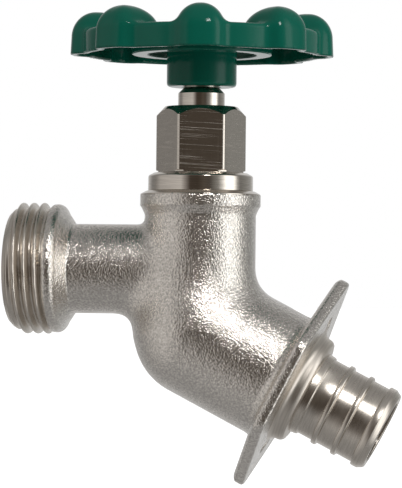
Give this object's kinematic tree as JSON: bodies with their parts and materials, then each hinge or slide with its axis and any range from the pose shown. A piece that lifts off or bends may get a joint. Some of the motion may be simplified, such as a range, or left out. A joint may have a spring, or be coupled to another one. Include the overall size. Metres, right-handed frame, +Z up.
{
  "type": "hose bib",
  "caption": "Nickel-plated hose bibb with a green lobed handwheel, male hose outlet, slanted barbed inlet and wall flange.",
  "frame": {"origin": "centre of the wall flange's wall face, which is also the centre of its two screw holes", "axes": "+Z up along the stem towards the handwheel, -X along the hose outlet, the inlet slants down towards +X"},
  "size_m": [0.0809, 0.0546, 0.0965],
  "materials": {
    "cast_nickel": "sand-cast brass, tumbled and nickel plated, satin",
    "bright_nickel": "machined brass, bright nickel plated",
    "green_enamel": "glossy dark green enamel on a die casting",
    "brass": "plain machined brass",
    "rubber": "black moulded rubber",
    "graphite": "braided graphite packing",
    "fibre": "red-brown pressed fibre",
    "zinc_steel": "zinc-plated steel"
  },
  "bodies": {
    "valve_body": {"body_casting": "cast_nickel", "bonnet_gasket": "fibre", "bonnet": "bright_nickel", "packing_nut": "bright_nickel", "packing_ring": "graphite", "packing_gland": "brass"},
    "seat_disc": {"disc_holder": "brass", "seat_washer": "rubber", "washer_screw": "brass"},
    "spindle": {"stem": "bright_nickel", "handwheel": "green_enamel", "star_washer": "zinc_steel", "handwheel_screw": "zinc_steel"}
  },
  "joints": [
    {"name": "seat_lift", "type": "slide", "parent": "valve_body", "child": "seat_disc", "axis": [0, 0, 1], "range_m": [0, 0.006]},
    {"name": "stem_turn", "type": "hinge", "parent": "seat_disc", "child": "spindle", "pos_m": [-0.02022, 0, 0.02343], "axis": [0, 0, 1], "range_deg": [0, 1080]}
  ],
  "couplings": [
    {"joint": "seat_lift", "follows": "stem_turn", "m_per_rad": 0.0003183}
  ]
}
